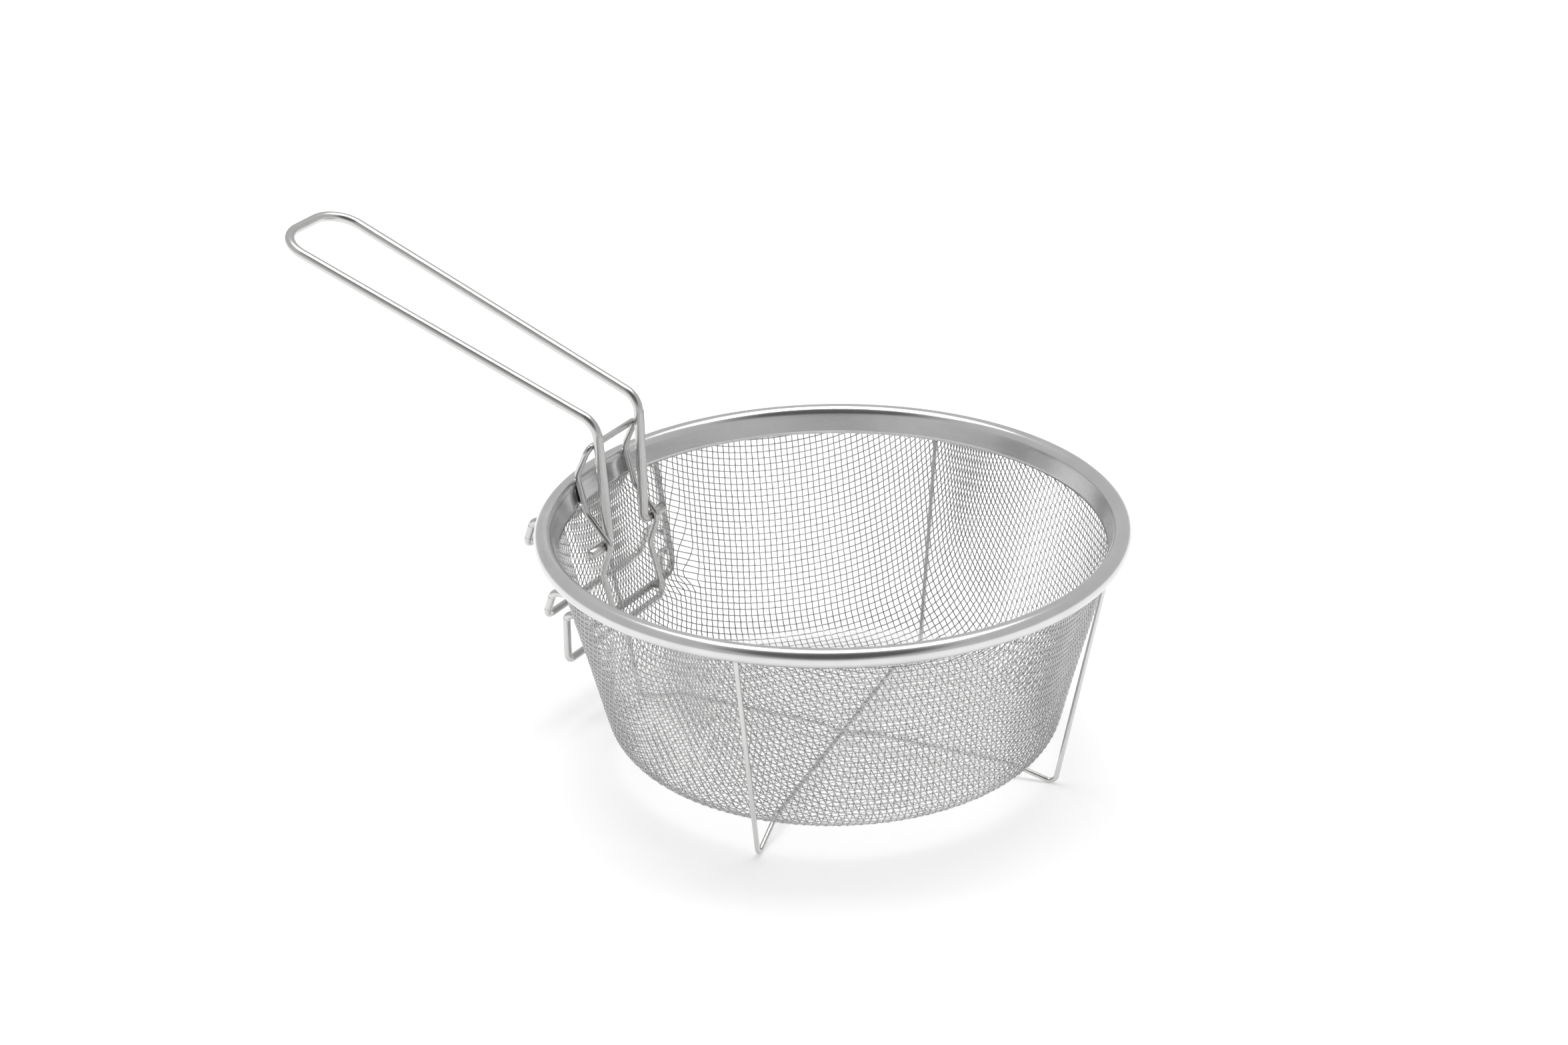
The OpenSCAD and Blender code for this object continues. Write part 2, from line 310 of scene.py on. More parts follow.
@dataclass(frozen=True)
class Scoops:
    """The two places where the rim's sheet is pressed out beside a bracket wire."""

    shape: BowlShape
    centres: Pair = (16.3, -16.3)
    depth: float = 1.25
    lead: float = 1.9
    crest: float = 0.6
    spread: float = 8.5
    start_above: float = 3.2
    start_ease: float = 4.5
    end_below: float = 14.0
    end_ease: float = 6.0
    ring_inset: float = 0.6
    ring_ease: float = 2.0

    def push(self, p: np.ndarray) -> np.ndarray:
        """Outward distance at each point.

        Sideways it eases from nothing to full between lead before each centre and the crest past
        it, then falls away over spread. In height it starts a little above the bead's centre, is
        full along the skirt and fades out in the mesh below. It leaves the bead's outer half alone.

        Args:
            p: Positions, with a last axis of three.

        Returns:
            The distance for each point.
        """
        x, y, z = p[..., 0], p[..., 1], p[..., 2]
        down = self.shape.bead_z - z
        high = (smooth((down + self.start_above) / self.start_ease)
                * smooth((self.end_below - down) / self.end_ease))
        inner = smooth((self.shape.ring_r - self.ring_inset - np.hypot(x, y)) / self.ring_ease)
        push = np.zeros_like(x)
        for centre in self.centres:
            t = x - centre
            rising = smooth((t + self.lead) / (self.lead + self.crest))
            falling = smooth(1 - (t - self.crest) / self.spread)
            push = np.maximum(push, np.where(t < self.crest, rising, falling))
        return self.depth * push * high * inner * (y < 0)


@dataclass(frozen=True)
class HookPanel:
    """The flat frame that the mesh is pulled against on the handle's side."""

    shape: BowlShape
    wire_d: float = 3.0
    half: float = 32.5
    bar_z: float = 39.0
    bend: float = 6.0
    side_reach: float = 4.2
    side_ease: float = 3.6
    low_reach: float = 6.5
    low_ease: float = 6.0
    handle_side: float = -60.0

    @property
    def top_z(self) -> float:
        """Height of the frame's upper ends, just under the bead."""
        return self.shape.under_bead(self.shape.ring_r) - self.shape.gap

    @property
    def bar_reach(self) -> float:
        """Reach of the bottom bar."""
        return self.shape.reach(self.bar_z, 0.0, self.wire_d, inside=False)

    @property
    def top_reach(self) -> float:
        """Reach of the frame's upper ends."""
        return self.shape.reach(self.top_z, self.half, self.wire_d, inside=False)

    def reach(self, z: np.ndarray | float) -> np.ndarray | float:
        """Reach of the frame's plane at height z."""
        share = (z - self.bar_z) / (self.top_z - self.bar_z)
        return self.bar_reach + (self.top_reach - self.bar_reach) * share

    def pull(self, p: np.ndarray) -> np.ndarray:
        """Distance along -Y that pulls the mesh flat behind the frame.

        It is what each point is short of the frame's plane, less the wire's radius, half the mesh
        and the gap. It eases out past the frame's sides and below its bar.

        Args:
            p: Positions, with a last axis of three.

        Returns:
            The distance for each point, which is 0 away from the handle's side.
        """
        x, y, z = p[..., 0], p[..., 1], p[..., 2]
        plane = self.reach(z) - self.wire_d / 2 - self.shape.mesh_t / 2 - self.shape.gap
        short = np.maximum(plane + y, 0.0)
        side = smooth((self.half + self.side_reach - np.abs(x)) / self.side_ease)
        low = smooth((z - self.bar_z + self.low_reach) / self.low_ease)
        return short * side * low * (y < self.handle_side)


@dataclass
class WovenMesh:
    """Plain-woven wire mesh, drawn from a flat blank into the bowl.

    The blank's two families of wires keep their pitch, and the cells between them shear as the
    blank is drawn: they stay square along the wires through the centre and become long diamonds
    halfway between those. The wave's rates are radians per millimetre, its low and high ends are
    a height and the distance over which it eases, and a lane is one wire's strip of the UV map.
    """

    shape: BowlShape
    scoops: Scoops
    panel: HookPanel
    material: bpy.types.Material
    pitch: float = 2.5
    wire_d: float = 0.46
    turn: float = math.radians(45.0)
    slip: float = 0.18
    top_z: float = 92.6
    sides: int = 6
    spare_rows: int = 30
    margin: float = 6.0
    solve_steps: int = 12
    solve_nudge: float = 1e-4
    normal_step: float = 0.05
    wave: float = 0.16
    wave_rates: tuple[float, float, float, float] = (0.11, 0.043, 0.097, 0.031)
    wave_low: Pair = (12.0, 20.0)
    wave_high: Pair = (84.0, 12.0)
    lane_step: float = 7.3

    def net(self) -> np.ndarray:
        """Walk coordinates of the crossings in one quarter of the blank.

        Each crossing is at one pitch from its two neighbours, measured straight across: it is
        solved by Newton's method for a whole diagonal of crossings at once. The blank of a wire mesh
        also slips at its crossings, so a share of the plain unsheared place is mixed in.

        Returns:
            Coordinates, shape (n, n, 2), not a number where the blank ends.
        """
        reach = self.shape.length_to(self.top_z)
        n = int(reach / self.pitch) + self.spare_rows
        net = np.full((n, n, 2), np.nan)
        line = np.arange(n) * self.pitch
        net[:, 0] = np.stack([line, np.zeros(n)], axis=1)
        net[0, :] = np.stack([np.zeros(n), line], axis=1)
        for k in range(2, 2 * n - 1):
            i = np.arange(max(1, k - n + 1), min(n - 1, k - 1) + 1)
            j = k - i
            near, one, two = net[i - 1, j - 1], net[i - 1, j], net[i, j - 1]
            keep = np.isfinite(one[:, 0] + two[:, 0]) & (np.hypot(*near.T) < reach + self.margin)
            if keep.any():
                net[i[keep], j[keep]] = self.fourth(one[keep], two[keep], near[keep])
        plain = np.stack(np.meshgrid(line, line, indexing="ij"), axis=-1)
        return net * (1 - self.slip) + plain * self.slip

    def fourth(self, one: np.ndarray, two: np.ndarray, near: np.ndarray) -> np.ndarray:
        """Walk coordinates of the points at one pitch from both of two neighbours.

        Args:
            one: Walk coordinates of the first neighbours.
            two: Walk coordinates of the second neighbours.
            near: Walk coordinates of the crossings opposite the ones sought.

        Returns:
            The solved walk coordinates.
        """
        ends = [self.shape.surface(*p.T) for p in (one, two)]
        x, h = one + two - near, self.solve_nudge

        def miss(q: np.ndarray) -> np.ndarray:
            """Squared distance to each neighbour, less the pitch squared."""
            at = self.shape.surface(*q.T)
            return np.stack([((at - e) ** 2).sum(1) - self.pitch ** 2 for e in ends], axis=1)

        for _ in range(self.solve_steps):
            f = miss(x)
            slope = np.stack([(miss(x + d) - f) / h for d in (np.array([h, 0]), np.array([0, h]))], axis=2)
            step = np.linalg.solve(slope, f[..., None])[..., 0]
            x = x - np.clip(step, -1.0, 1.0)
        return x

    def place(self, a: np.ndarray, b: np.ndarray) -> np.ndarray:
        """Positions of walk coordinates.

        The walk is turned to the weave's direction and taken to the surface. A slow level wave, a
        sine in each direction, makes the wall uneven between the knee and the rim. Last, the scoops
        push it out and the hook frame pulls it flat.

        Args:
            a: First coordinate of the walk, along one family of wires.
            b: Second coordinate of the walk, along the other.

        Returns:
            Positions, with a last axis of three.
        """
        c, s = math.cos(self.turn), math.sin(self.turn)
        p = self.shape.surface(a * c - b * s, a * s + b * c)
        fast, slow, quick, drift = self.wave_rates
        wave = self.wave * np.stack([np.sin(a * fast + 2 * np.sin(b * slow)),
                                     np.sin(b * quick + a * drift)], -1)
        z = p[..., 2:3]
        (low, low_ease), (high, high_ease) = self.wave_low, self.wave_high
        p[..., :2] += wave * smooth((z - low) / low_ease) * smooth((high - z) / high_ease)
        p = p + outward(p) * self.scoops.push(p)[..., None]
        p[..., 1] -= self.panel.pull(p)
        return p

    def crossings(self) -> tuple[np.ndarray, np.ndarray, np.ndarray]:
        """All crossings, the solved quarter mirrored to a whole.

        Returns:
            Positions, outward normals, and the mask of the crossings that are in the bowl.
        """
        quarter = self.net()
        n = len(quarter)
        order = np.arange(-(n - 1), n)
        i, j = np.meshgrid(order, order, indexing="ij")
        ab = quarter[np.abs(i), np.abs(j)]
        a, b = ab[..., 0] * np.sign(i), ab[..., 1] * np.sign(j)
        a, b = np.where(i == 0, 0.0, a), np.where(j == 0, 0.0, b)
        inside = np.isfinite(a + b) & (np.hypot(a, b) < self.shape.length_to(self.top_z))
        a, b = np.where(inside, a, 0.0), np.where(inside, b, 0.0)
        p, h = self.place(a, b), self.normal_step
        normal = unit(np.cross(self.place(a + h, b) - p, self.place(a, b + h) - p))
        return p, -normal, inside

    def tube_faces(self, inside: np.ndarray) -> tuple[np.ndarray, np.ndarray]:
        """Faces of the tubes that run along the first index of a mask.

        The rings of the crossings in the mask are numbered in order, and each is joined to the next
        one along its wire, side by side round the ring.

        Args:
            inside: Mask of the crossings, with wires along its first index.

        Returns:
            Corner indices (m, 4) and their UV (m, 4, 2): V is the length along the wire, and each
            wire has a lane of its own in U.
        """
        number = np.full(inside.shape, -1)
        number[inside] = np.arange(inside.sum())
        joined = inside[:-1] & inside[1:]
        first, last = number[:-1][joined] * self.sides, number[1:][joined] * self.sides
        k = np.arange(self.sides)
        kk = (k + 1) % self.sides
        quads = np.stack([first[:, None] + k, first[:, None] + kk, last[:, None] + kk, last[:, None] + k],
                         axis=2).reshape(-1, 4)
        row, lane = np.nonzero(joined)
        across = k * math.pi * self.wire_d / self.sides
        u0 = (lane * self.lane_step)[:, None] + across
        u1 = u0 + across[1]
        v0, v1 = ((row + end)[:, None] * self.pitch + 0 * u0 for end in (0, 1))
        uv = np.stack([np.stack([u0, v0], -1), np.stack([u1, v0], -1), np.stack([u1, v1], -1),
                       np.stack([u0, v1], -1)], axis=2).reshape(-1, 4, 2)
        return quads, uv

    def strands(self, name: str, along_i: bool) -> bpy.types.Object:
        """One family of wires as tubes that pass over and under the other family.

        The centre of each ring lies half a wire above or below the surface, by turns; the ring is a
        circle in the plane across the wire.

        Args:
            name: The piece's name.
            along_i: Whether the wires run along the first index.

        Returns:
            The piece.
        """
        p, normal, inside = self.crossings()
        i, j = np.indices(inside.shape)
        sign = 1.0 if along_i else -1.0
        over = np.where((i + j) % 2 == 0, sign, -sign)
        if not along_i:
            p, normal, inside, over = (np.swapaxes(x, 0, 1) for x in (p, normal, inside, over))
        centre = p + normal * (over * self.wire_d / 2)[..., None]
        before = np.where(np.roll(inside, 1, 0)[..., None], np.roll(p, 1, 0), p)
        after = np.where(np.roll(inside, -1, 0)[..., None], np.roll(p, -1, 0), p)
        way = unit(after - before)
        side = unit(np.cross(normal, way))
        top = np.cross(way, side)
        angle = (np.arange(self.sides) * 2 * math.pi / self.sides)[:, None]
        ring = centre[..., None, :] + self.wire_d / 2 * (np.cos(angle) * top[..., None, :]
                                                         + np.sin(angle) * side[..., None, :])
        return write_mesh(name, ring[inside].reshape(-1, 3), *self.tube_faces(inside))

    def build(self) -> None:
        """Makes both families and lets them stand for the bowl's CAD shell."""
        for name, along_i in (("mesh_warp_wires", True), ("mesh_weft_wires", False)):
            settle(self.strands(name, along_i), Body.BASKET, self.material, "mesh_bowl")


@dataclass
class RimBand:
    """The rolled sheet band: a bead over the mesh's edge and a skirt down its inner side."""

    shape: BowlShape
    scoops: Scoops
    material: bpy.types.Material
    around: int = 840
    skin: float = 0.04
    edge_rise: float = 0.12
    edge_inset: float = 0.25
    skirt_steps: int = 7
    bead_steps: int = 48
    roll_steps: int = 20

    def profile(self) -> np.ndarray:
        """Closed cross-section.

        It goes up the skirt's inner face, round the bead's outer circle to its lip, back round the
        inner circle and down the skirt's outer face. Its lowest edge is eased by one slanted step.

        Returns:
            Radius and height of each point, shape (n, 2).
        """
        s = self.shape
        start, end = math.pi - s.lean, -s.roll_under
        low = s.bead_z - s.skirt_drop

        def skirt(off: float, first: float, last: float) -> np.ndarray:
            """Points down or up one face of the skirt."""
            z = np.linspace(first, last, self.skirt_steps)
            return np.stack([[s.slope_r(off, h) for h in z], z], axis=1)

        def arc(r: float, first: float, last: float, n: int) -> np.ndarray:
            """Points round a circle about the bead's centre."""
            a = np.linspace(first, last, n)
            return np.stack([s.ring_r + r * np.cos(a), s.bead_z + r * np.sin(a)], axis=1)

        bead, roll = s.bead_r - self.skin, s.bead_r - s.sheet
        out_z, in_z = (s.bead_z + r * math.sin(start) for r in (bead, roll))
        return np.concatenate([skirt(bead, low + self.edge_rise, out_z)[:-1],
                               arc(bead, start, end, self.bead_steps),
                               arc(roll, end, start, self.roll_steps)[:-1],
                               skirt(roll, in_z, low),
                               [[s.slope_r(bead - self.edge_inset, low), low]]])

    def build(self) -> None:
        """Turns the cross-section round the rim's axis and presses in the two scoops."""
        line = self.profile()
        angle = np.arange(self.around) * 2 * math.pi / self.around
        p = np.stack([np.cos(angle)[:, None] * line[:, 0], np.sin(angle)[:, None] * line[:, 0],
                      np.broadcast_to(line[:, 1], (self.around, len(line)))], axis=-1)
        p = p + outward(p) * self.scoops.push(p)[..., None]
        lengths = np.linalg.norm(np.diff(np.vstack([line, line[:1]]), axis=0), axis=1)
        v = np.concatenate([[0.0], np.cumsum(lengths)])
        u = np.arange(self.around + 1) * 2 * math.pi * self.shape.ring_r / self.around
        quads, uv = grid_faces(*p.shape[:2], True, True, u, v)
        piece = write_mesh("rim_band_rolled", p.reshape(-1, 3), quads[:, ::-1], uv[:, ::-1])
        settle(piece, Body.BASKET, self.material, "rim_band")


# --------------------------------------------------------------------------- wires


@dataclass(frozen=True)
class BentWire:
    """A round wire bent to radii at the corners of a line of points."""

    name: str
    node: str
    body: Body
    diameter: float
    points: list[Point]
    radii: list[float]
    facing: Point
    sides: int = 28
    chamfer: float = 0.25 / 3
    arc_step: float = math.radians(5.0)
    straight_step: float = 6.0

    def path(self) -> np.ndarray:
        """Stations along the wire: straight between corners, and circular arcs round them.

        Each arc starts and ends at radius times the tangent of half the turn from its corner.

        Returns:
            Positions, shape (n, 3).
        """
        p = np.array(self.points, dtype=float)
        parts = [p[:1]]
        for before, corner, after, r in zip(p[:-2], p[1:-1], p[2:], self.radii):
            u, v = unit(corner - before), unit(after - corner)
            turn = math.acos(float(np.clip(u @ v, -1, 1)))
            side = unit(v - (u @ v) * u)
            start = corner - u * r * math.tan(turn / 2)
            a = np.linspace(0.0, turn, max(3, int(turn / self.arc_step) + 2))[:, None]
            parts.append(start + u * r * np.sin(a) + side * r * (1 - np.cos(a)))
        parts.append(p[-1:])
        line = np.concatenate(parts)
        steps = [np.linspace(a, b, max(2, int(np.linalg.norm(b - a) / self.straight_step) + 1),
                             endpoint=False) for a, b in zip(line[:-1], line[1:])]
        return np.concatenate(steps + [line[-1:]])

    def build(self, material: bpy.types.Material) -> None:
        """Carries a circle along the path, with a small chamfer and a flat face at each end.

        Each ring is the radius times the cosine of the angle along the facing, taken square to the
        wire, and times its sine along the cross product of the wire and the facing.

        Args:
            material: The wire's finish.
        """
        c = self.path()
        cut = self.chamfer * self.diameter
        first, last = c[0], c[-1]
        c = np.concatenate([[first], [first + unit(c[1] - first) * cut], c[1:-1],
                            [last + unit(c[-2] - last) * cut], [last]])
        r = np.full(len(c), self.diameter / 2)
        r[[0, -1]] -= cut
        way = unit(np.gradient(c, axis=0))
        face = np.array(self.facing, dtype=float)
        top = unit(face - (way @ face)[:, None] * way)
        side = np.cross(way, top)
        angle = (np.arange(self.sides) * 2 * math.pi / self.sides)[:, None]
        ring = c[:, None] + r[:, None, None] * (np.cos(angle) * top[:, None] + np.sin(angle) * side[:, None])
        u = np.concatenate([[0.0], np.cumsum(np.linalg.norm(np.diff(c, axis=0), axis=1))])
        v = np.arange(self.sides + 1) * math.pi * self.diameter / self.sides
        quads, uv = grid_faces(len(c), self.sides, False, True, u, v)
        end = (len(c) - 1) * self.sides
        caps = [list(range(self.sides))[::-1], list(range(end, end + self.sides))]
        piece = write_mesh(self.name, ring.reshape(-1, 3), quads, uv, caps)
        settle(piece, self.body, material, self.node)


@dataclass
class Handle:
    """The folding handle: out-turned pins, upright legs, long sloping arms and an end bar."""

    shape: BowlShape
    material: bpy.types.Material
    wire_d: float = 3.9
    pivot_z: float = 69.3
    pivot_inset: float = 6.1
    pin_tip: float = 25.5
    leg_half: float = 12.0
    leg_rise: float = 49.3
    leg_out: float = 2.2
    arm_half: float = 14.3
    arm_reach: float = 142.9
    arm_slope: float = math.radians(18.9)
    tip_half: float = 18.6
    pin_bend: float = 3.0
    arm_bend: float = 9.0
    tip_bend: float = 12.5

    @property
    def pivot_reach(self) -> float:
        """Reach of the pivot."""
        return self.shape.wall_in(self.pivot_z) - self.pivot_inset

    def wire(self) -> BentWire:
        """The handle's line and bends.

        Returns:
            The wire, through pin tip, pin, top of the leg and end of the arm on each side.
        """
        top_z, top = self.pivot_z + self.leg_rise, self.pivot_reach + self.leg_out
        end_z = top_z + self.arm_reach * math.tan(self.arm_slope)
        left = [(-self.pin_tip, -self.pivot_reach, self.pivot_z),
                (-self.leg_half, -self.pivot_reach, self.pivot_z),
                (-self.arm_half, -top, top_z),
                (-self.tip_half, -(top + self.arm_reach), end_z)]
        bends = [self.pin_bend, self.arm_bend, self.tip_bend]
        return BentWire("handle_loop", "handle", Body.HANDLE, self.wire_d, mirrored(left),
                        bends + bends[::-1], (0.0, 1.0, 0.6), sides=40)

    def build(self) -> None:
        """Makes the handle."""
        self.wire().build(self.material)


@dataclass
class HandleBracket:
    """The inner bracket: feet on the mesh, a crook round each pin, sides up the wall, a stop bar."""

    shape: BowlShape
    panel: HookPanel
    handle: Handle
    material: bpy.types.Material
    wire_d: float = 2.5
    half: float = 16.3
    shoulder_drop: float = 10.0
    side_top: float = 5.0
    neck_drop: float = 33.0
    stop_rise: float = 17.0
    stop_gap: float = 0.2
    crook_bend: float = 5.0
    side_bend: float = 7.0
    stop_bend: float = 3.0

    def crook(self, above: np.ndarray, below: np.ndarray, radius: float) -> np.ndarray:
        """Corner of the crook round a pin.

        The crook is an arc about the pin, and the wire leaves it along the tangents to the points
        above and below. Each tangent touches at the angle of its point plus or minus the arccosine
        of radius over distance, and the two tangents meet at the corner, half-way between.

        Args:
            above: Reach and height of the wire's next corner above the pin.
            below: Reach and height of its next corner below.
            radius: Radius of the crook's middle line.

        Returns:
            The corner's reach and height.
        """
        pin = np.array([self.handle.pivot_reach, self.handle.pivot_z])
        up, down = above - pin, below - pin
        a = math.atan2(up[1], up[0]) + math.acos(radius / np.linalg.norm(up))
        b = 2 * math.pi + math.atan2(down[1], down[0]) - math.acos(radius / np.linalg.norm(down))
        far = radius / math.cos((b - a) / 2)
        return pin + far * np.array([math.cos((a + b) / 2), math.sin((a + b) / 2)])

    def wire(self) -> BentWire:
        """The bracket's line and bends.

        The stop bar stands behind the handle's leg, at the leg's reach at that height plus the
        radii of both wires and a gap.

        Returns:
            The wire, through foot, neck, crook, shoulder, top of the side and stop bar.
        """
        s, h, d = self.shape, self.handle, self.wire_d

        def on_wall(z: float) -> Pair:
            """Reach and height where the wire lies on the wall at height z."""
            return s.reach(z, self.half, d, inside=True), z

        neck, shoulder = on_wall(s.bead_z - self.neck_drop), on_wall(s.bead_z - self.shoulder_drop)
        radius = h.wire_d / 2 + s.gap + d / 2
        crook = self.crook(np.array(shoulder), np.array(neck), radius)
        stop_z = s.bead_z + self.stop_rise
        stop = (h.pivot_reach + h.leg_out * (stop_z - h.pivot_z) / h.leg_rise
                + (h.wire_d + d) / 2 + self.stop_gap)
        side = [on_wall(self.panel.bar_z), neck, tuple(crook), shoulder,
                on_wall(s.bead_z + self.side_top), (stop, stop_z)]
        bends = [self.crook_bend, radius, self.crook_bend, self.side_bend, self.stop_bend]
        return BentWire("handle_bracket_wire", "handle_bracket", Body.BASKET, d,
                        both_sides(self.half, side), bends + bends[::-1], (0.0, 1.0, 0.2))

    def build(self) -> None:
        """Makes the bracket."""
        self.wire().build(self.material)


@dataclass(frozen=True)
class PotHook:
    """Sizes of one pot hook: it stands out level to its shoulder, then hangs to its bar.

    The weld's height and the shoulder's reach are measured from the table and the rim's axis, and
    the bar's place from the shoulder.
    """

    name: str
    weld_z: float
    shoulder: float
    bar_out: float
    bar_drop: float
    bend: float


@dataclass
class HookFrame:
    """The flat frame outside the mesh and the three pot hooks that stand out from it."""

    shape: BowlShape
    panel: HookPanel
    material: bpy.types.Material
    weld_sink: float = 0.3
    upper_drop: float = 9.0
    upper_out: float = 1.5
    middle_drop: float = 37.0
    middle_out: float = 7.6
    bar_out: float = 4.0
    bar_drop: float = 11.5
    hook_bend: float = 4.0
    lower_lift: float = 7.5
    lower_out: float = 3.3
    lower_bar_out: float = 0.2
    lower_bar_drop: float = 20.0
    lower_bend: float = 3.0

    def hooks(self) -> list[PotHook]:
        """Sizes of the three hooks.

        Returns:
            The hooks, from the top down.
        """
        s, f = self.shape, self.panel
        half = f.wire_d / 2
        upper_z, middle_z = s.bead_z - self.upper_drop, s.bead_z - self.middle_drop
        lower_z = f.bar_z + self.lower_lift
        return [
            PotHook("upper", upper_z, s.ring_r + s.bead_r + self.upper_out, self.bar_out,
                    self.bar_drop, self.hook_bend),
            PotHook("middle", middle_z, f.reach(middle_z) + self.middle_out + half, self.bar_out,
                    self.bar_drop, self.hook_bend),
            PotHook("lower", lower_z, f.reach(lower_z) + self.lower_out + half, self.lower_bar_out,
                    self.lower_bar_drop, self.lower_bend),
        ]

    def wires(self) -> list[BentWire]:
        """The lines and bends of the frame and its hooks.

        Returns:
            The frame's U, with its ends up under the bead, and one wire for each hook.
        """
        f = self.panel
        frame_side = [(f.top_reach, f.top_z), (f.bar_reach, f.bar_z)]
        made = [BentWire("hook_frame_wire", "hook_frame", Body.BASKET, f.wire_d,
                         both_sides(f.half, frame_side), [f.bend, f.bend], (0.0, 1.0, 0.0))]
        for hook in self.hooks():
            weld = f.reach(hook.weld_z) + f.wire_d / 2 - self.weld_sink
            side = [(weld, hook.weld_z), (hook.shoulder, hook.weld_z),
                    (hook.shoulder + hook.bar_out, hook.weld_z - hook.bar_drop)]
            made.append(BentWire(f"{hook.name}_pot_hook_wire", f"{hook.name}_pot_hook", Body.BASKET,
                                 f.wire_d, both_sides(f.half, side), [hook.bend] * 4, (0.0, 0.4, 1.0)))
        return made

    def build(self) -> None:
        """Makes the frame and its hooks."""
        for wire in self.wires():
            wire.build(self.material)


@dataclass
class SupportWires:
    """The two wires that carry the bowl: four legs with feet, crossing under the bottom."""

    shape: BowlShape
    material: bpy.types.Material
    wire_d: float = 1.9
    over_azimuths: Pair = (12.0, 188.0)
    under_azimuths: Pair = (100.5, 271.0)
    steeper: float = math.radians(2.9)
    foot_rise: float = math.radians(17.0)
    foot_bend: float = 3.0
    foot_swell: float = 0.04
    run_bend: float = 6.0
    top_share: float = 1 / 1.6
    weld_sink: float = 0.3
    kink_half: float = 10.0
    dip_half: float = 3.0
    kink_bend: float = 4.0
    over_facing: Point = (-0.208, 0.978, 0.0)
    under_facing: Point = (0.995, 0.08, 0.0)

    def leg(self, azimuth: float) -> list[Point]:
        """One leg, in the upright plane at its azimuth.

        It leaves the bead's underside and leans in a little less than the wall does. The foot's
        corner is as far below the bend's lowest point as the two lines that the bend joins need,
        and the wire then rises inwards until it lies under the bottom.

        Args:
            azimuth: Direction of the leg from the rim's axis, in degrees.

        Returns:
            Its top end, foot corner and inner corner.
        """
        s, d = self.shape, self.wire_d
        lean, rise, bend = s.lean - self.steeper, self.foot_rise, self.foot_bend
        top = s.ring_r - d * self.top_share
        top_z = s.under_bead(top) + self.weld_sink
        foot_z = (bend + (d + self.foot_swell) / 2
                  - bend * (math.sin(rise) + math.cos(lean)) / math.cos(lean - rise))
        foot = top - (top_z - foot_z) * math.tan(lean)
        run_z = s.lift - d / 2 - s.gap
        run = foot - (run_z - foot_z) / math.tan(rise)
        c, n = math.cos(math.radians(azimuth)), math.sin(math.radians(azimuth))
        return [(r * c, r * n, z) for r, z in ((top, top_z), (foot, foot_z), (run, run_z))]

    def kinks(self, over: list[Point], under: list[Point]) -> list[Point]:
        """Corners of the dip that takes the second wire under the first.

        The two straight runs are crossed in plan, by the ratio of two-dimensional cross products,
        and the dip is centred there.

        Args:
            over: The two inner corners of the first wire.
            under: The two inner corners of the second wire.

        Returns:
            Four corners along the second wire, the middle two lowered.
        """
        a, b, c, d = (np.array(p) for p in over + under)
        u, v, w = b - a, d - c, c - a
        cross = a + u * (w[0] * v[1] - w[1] * v[0]) / (u[0] * v[1] - u[1] * v[0])
        along, dip = unit(d - c), np.array([0.0, 0.0, self.wire_d - self.weld_sink])
        stations = ((-self.kink_half, 0), (-self.dip_half, 1), (self.dip_half, 1), (self.kink_half, 0))
        return [tuple(cross + along * t - dip * down) for t, down in stations]

    def wires(self) -> list[BentWire]:
        """The lines and bends of both wires.

        Returns:
            The first wire, which lies on top at the crossing, and the second, which dips.
        """
        one, two = (self.leg(azimuth) for azimuth in self.over_azimuths)
        back, front = (self.leg(azimuth) for azimuth in self.under_azimuths)
        kinks = self.kinks([one[2], two[2]], [back[2], front[2]])
        ends = [self.foot_bend, self.run_bend]
        return [
            BentWire("support_wire_over", "support_wire_a", Body.BASKET, self.wire_d,
                     one + two[::-1], ends + ends[::-1], self.over_facing, sides=20),
            BentWire("support_wire_under", "support_wire_b", Body.BASKET, self.wire_d,
                     back + kinks + front[::-1], ends + [self.kink_bend] * 4 + ends[::-1],
                     self.under_facing, sides=20),
        ]

    def build(self) -> None:
        """Makes both wires."""
        for wire in self.wires():
            wire.build(self.material)


# --------------------------------------------------------------------------- finishes


class Grain(Enum):
    """Which grain of the shared effect a finish takes."""

    DRAWN = "Streak"
    PITTED = "Grain"


